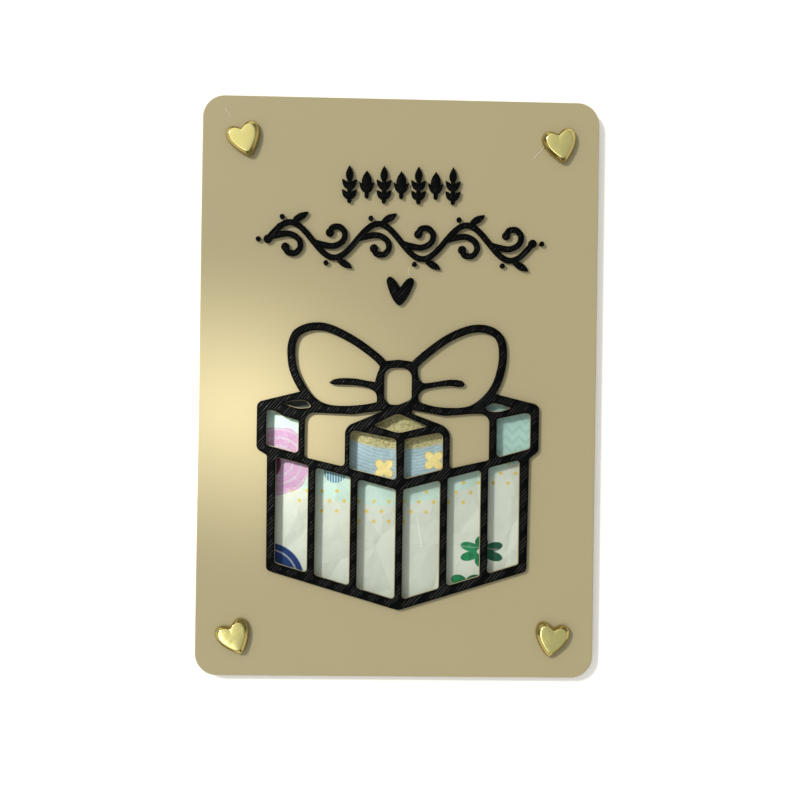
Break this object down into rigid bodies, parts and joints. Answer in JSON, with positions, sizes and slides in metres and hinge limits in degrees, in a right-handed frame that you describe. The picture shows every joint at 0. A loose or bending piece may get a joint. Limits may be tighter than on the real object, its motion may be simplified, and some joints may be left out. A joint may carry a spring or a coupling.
{
  "type": "gift card holder",
  "caption": "Flat upright holder with a raised gift box and bow whose windows show a folded voucher that slides up out of a pocket behind the plate.",
  "frame": {"origin": "centre of the outline at the rear face of the back cover, on which the holder lies", "axes": "+Z out of the decorated front, +Y towards the plate's top edge, where the voucher leaves, +X towards the right edge seen from the front"},
  "size_m": [0.103, 0.15, 0.0066],
  "materials": {
    "plate": "satin beige print, smooth front face",
    "relief": "black print with fine diagonal top lines",
    "gold": "gold plated, mirror bright, faceted",
    "glue": "clear hot glue",
    "backing": "matt beige print",
    "paper": "printed paper, lightly creased"
  },
  "bodies": {
    "holder": {"front_plate": "plate", "gift_frame": "relief", "accent_heart": "relief", "row_motif_1": "relief", "row_motif_2": "relief", "row_motif_3": "relief", "row_motif_4": "relief", "row_motif_5": "relief", "row_motif_6": "relief", "row_motif_7": "relief", "vine_scroll": "relief", "vine_berries": "relief", "gold_heart_top_left": "gold", "gold_heart_top_right": "gold", "gold_heart_bottom_left": "gold", "gold_heart_bottom_right": "gold", "heart_glue": "glue", "spacer_left": "backing", "spacer_right": "backing", "spacer_foot": "backing", "back_cover": "backing"},
    "voucher": {"gift_voucher": "paper"}
  },
  "joints": [
    {"name": "voucher_slide", "type": "slide", "parent": "holder", "child": "voucher", "axis": [0, 1, 0], "range_m": [0, 0.07]}
  ]
}
